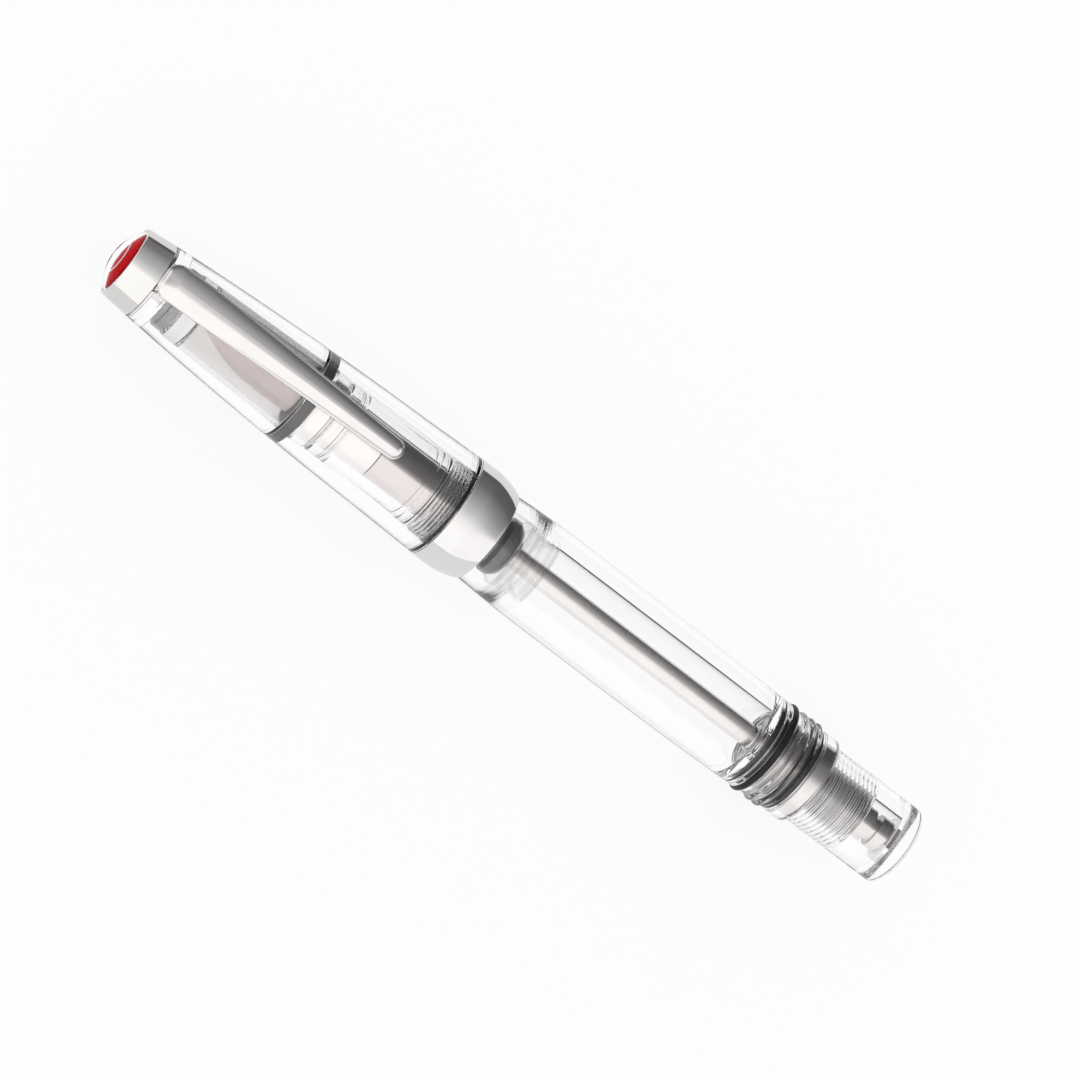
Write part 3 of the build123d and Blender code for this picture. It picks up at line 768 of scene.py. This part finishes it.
def half_ball(vertices, centre, radius, slit, side, rings=10, count=20):
    """Add the half of a ball on one side of the slit, and return its faces."""
    base = len(vertices)
    for i in range(rings):
        lift = math.pi / 2 * i / rings
        for k in range(count):
            a = 2 * math.pi * k / count
            flat = radius * math.cos(lift)
            vertices.append((centre[0] + flat * math.cos(a), side * (slit + radius * math.sin(lift)),
                             centre[2] + flat * math.sin(a)))
    vertices.append((centre[0], side * (slit + radius), centre[2]))
    pole = len(vertices) - 1
    faces = [[base + i * count + k, base + (i + 1) * count + k,
              base + (i + 1) * count + (k + 1) % count, base + i * count + (k + 1) % count]
             for i in range(rings - 1) for k in range(count)]
    top = base + (rings - 1) * count
    faces += [[top + k, pole, top + (k + 1) % count] for k in range(count)]
    faces.append([base + k for k in range(count)])
    return faces if side > 0 else [f[::-1] for f in faces]


def weld(mesh):
    """Join vertices that share a place, and turn all faces outwards."""
    work = bmesh.new()
    work.from_mesh(mesh)
    bmesh.ops.remove_doubles(work, verts=work.verts, dist=1e-6)
    bmesh.ops.recalc_face_normals(work, faces=work.faces)
    work.to_mesh(mesh)
    work.free()


# ---- stage ---------------------------------------------------------------------------------------
TILT, ROLL_AROUND = math.radians(14), math.radians(14)  # the view's lean towards the cap, and to -Y
SLOPE = math.radians(-37.35)    # how the pen's axis runs across the picture
DISTANCE = 0.665                # m from the camera to what it aims at
AIM_X, AIM_ACROSS = -0.014, 0.0037  # m from the frame's origin, along the pen and across it
LENS, SENSOR = 175.2, 36        # mm
CARD_Y = 0.052                  # m from the pen's axis to the foot of the dark card
CARD_TONE = 0.11                # brightness of the card, where white is 1
FLOOR_TONE, MIRRORED_FLOOR, FLOOR_THROUGH_PLASTIC = 0.985, 0.8, 1.0
GLOW_SHARE, HIDDEN_GLOW_SHARE = 0.88, 1.0  # of the floor's light, to the camera and to other rays


def make_camera():
    """Long-lens camera above the pen, leaning towards the cap, rolled so the pen runs diagonally."""
    back = Vector((-math.sin(TILT), -math.cos(TILT) * math.sin(ROLL_AROUND),
                   math.cos(TILT) * math.cos(ROLL_AROUND)))
    along = (Vector((1, 0, 0)) - back * back.x).normalized()
    across = back.cross(along)
    right = along * math.cos(SLOPE) - across * math.sin(SLOPE)
    up = along * math.sin(SLOPE) + across * math.cos(SLOPE)
    target = Vector((AIM_X, 0, 0)) + across * AIM_ACROSS
    camera = bpy.data.objects.new("camera", bpy.data.cameras.new("camera"))
    camera.data.lens, camera.data.sensor_width = LENS, SENSOR
    camera.data.clip_start = 0.01
    turn = Matrix((right, up, back)).transposed().to_4x4()
    camera.matrix_world = Matrix.Translation(target + back * DISTANCE) @ turn
    bpy.context.scene.collection.objects.link(camera)
    bpy.context.scene.camera = camera


def make_floor():
    """Large white floor just under the pen. It glows, so that it shows only a faint shadow. In
    reflections and through clear plastic it ends, at +Y, at a dark card that stands on it."""
    mesh = bpy.data.meshes.new("floor")
    reach, low = 3.0, CAD_BOX[0][2] - 0.0002
    mesh.from_pydata([(-reach, -reach, low), (reach, -reach, low), (reach, reach, low), (-reach, reach, low)],
                     [], [(0, 1, 2, 3)])
    floor = bpy.data.objects.new("floor", mesh)
    bpy.context.scene.collection.objects.link(floor)
    r = Recipe("floor")
    r.set(base_color=(0.93, 0.93, 0.93, 1), roughness=0.9, specular_ior_level=0.0)
    path = r.node("ShaderNodeLightPath").outputs
    behind = r.span(r.part(r.place, "Y"), 0, 1, CARD_Y - 0.001, CARD_Y + 0.002)
    lit = r.span(path["Is Transmission Ray"], MIRRORED_FLOOR, FLOOR_THROUGH_PLASTIC, 0, 1)
    mirrored = r.math("MAXIMUM", path["Is Glossy Ray"], path["Is Transmission Ray"])
    shown = r.between(mirrored, FLOOR_TONE, r.between(behind, lit, CARD_TONE))
    glow = r.node("ShaderNodeEmission", {"Color": (1, 1, 1, 1), "Strength": shown})
    mix = r.node("ShaderNodeMixShader", {0: r.span(mirrored, GLOW_SHARE, HIDDEN_GLOW_SHARE, 0, 1),
                                         1: r.surface.outputs["BSDF"], 2: glow.outputs["Emission"]})
    r.links.new(mix.outputs["Shader"], r.output.inputs["Surface"])
    r.material.cycles.emission_sampling = "NONE"
    mesh.materials.append(r.material)


def make_world():
    """Soft white surroundings. Reflections and the light through clear plastic see them fall off to
    the dark card on the +Y side, and bright again towards both ends of the pen."""
    world = bpy.data.worlds.new("studio")
    bpy.context.scene.world = world
    world.use_nodes = True
    w = Wiring(world.node_tree)
    way = w.node("ShaderNodeTexCoord").outputs["Generated"]
    x, y, z = (w.part(way, axis) for axis in "XYZ")
    share = w.span(w.math("ARCTAN2", y, z), 0, 1, -math.pi, math.pi)
    around = w.node("ShaderNodeValToRGB", {"Fac": share})
    # Degrees from overhead towards +Y, and the brightness there.
    tones = [(-180, 1.0), (-98, 1.15), (-15, 1.15), (-10, 0.66), (0, 0.50), (21, 0.33), (43, 0.245),
             (67, 0.135), (94, CARD_TONE), (110, 1.0)]
    fill_ramp(around.color_ramp, [((degrees + 180) / 360, (tone, tone * 0.99, tone * 0.985))
                                  for degrees, tone in tones])
    # Brighter on the cap's side, up to a limit, then plain white straight along the pen.
    scaled = w.scaled(around.outputs["Color"], w.span(x, 1.6, 0.95, 0.0, 0.3))
    limited = w.node("ShaderNodeVectorMath", {0: scaled, 1: (1.15, 1.14, 1.13)}, operation="MINIMUM")
    endwise = w.span(w.math("ABSOLUTE", x), 0, 1, 0.8, 0.97)
    mirrored = w.blend(endwise, limited.outputs["Vector"], (1.05, 1.04, 1.04))
    # The camera and diffuse surfaces see a plain bright world instead.
    path = w.node("ShaderNodeLightPath").outputs
    plain = w.math("MAXIMUM", path["Is Camera Ray"], path["Is Diffuse Ray"])
    w.links.new(w.blend(plain, mirrored, (1.06, 1.06, 1.06)), w.nodes["Background"].inputs["Color"])


def set_light_paths():
    """Enough bounces for light to cross every wall of the clear pieces."""
    scene = bpy.context.scene
    scene.cycles.max_bounces = 28
    scene.cycles.transmission_bounces = 24
    scene.cycles.glossy_bounces = 8
    scene.cycles.diffuse_bounces = 3
    scene.cycles.transparent_max_bounces = 40
    scene.view_settings.view_transform = "Standard"


for material, nodes in TURNED.items():
    for node in nodes:
        piece = turned(node, material)
        for stretch in STRETCHES.get(node, []):
            finish_stretch(piece, *stretch)
        if node == "cap_body":
            cut_clip_slot(piece)
make_clip()
make_nib()
for node, material in {"feed": BLACK, "seal_screw": SATIN_ROUND}.items():
    frame["nodes"][node].data.materials.clear()
    frame["nodes"][node].data.materials.append(material)

make_camera()
make_floor()
make_world()
set_light_paths()
